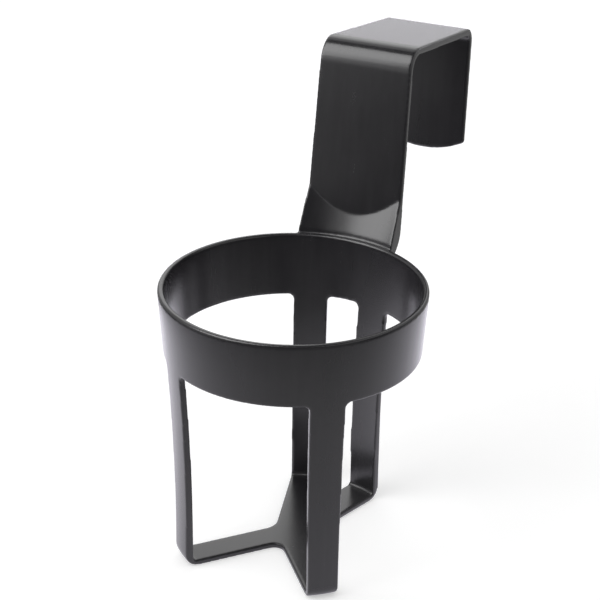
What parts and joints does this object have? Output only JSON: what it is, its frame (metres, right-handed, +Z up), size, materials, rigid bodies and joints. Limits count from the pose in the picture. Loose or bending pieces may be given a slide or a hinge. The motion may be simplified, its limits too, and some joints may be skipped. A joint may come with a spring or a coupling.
{
  "type": "car cup holder",
  "caption": "Hook-over cup holder for a car: a tapered ring on bowed legs and a crossed floor, with a flat strap that rises behind it and folds over as a hook.",
  "frame": {"origin": "on the ring's axis, at the underside of the floor, where the holder stands", "axes": "+Z up along the ring's axis, +Y towards the hook, +X to the right seen from the front"},
  "size_m": [0.0799, 0.1443, 0.1446],
  "materials": {
    "black_plastic": "satin black, as moulded"
  },
  "bodies": {
    "root": {"holder": "black_plastic"}
  },
  "joints": []
}
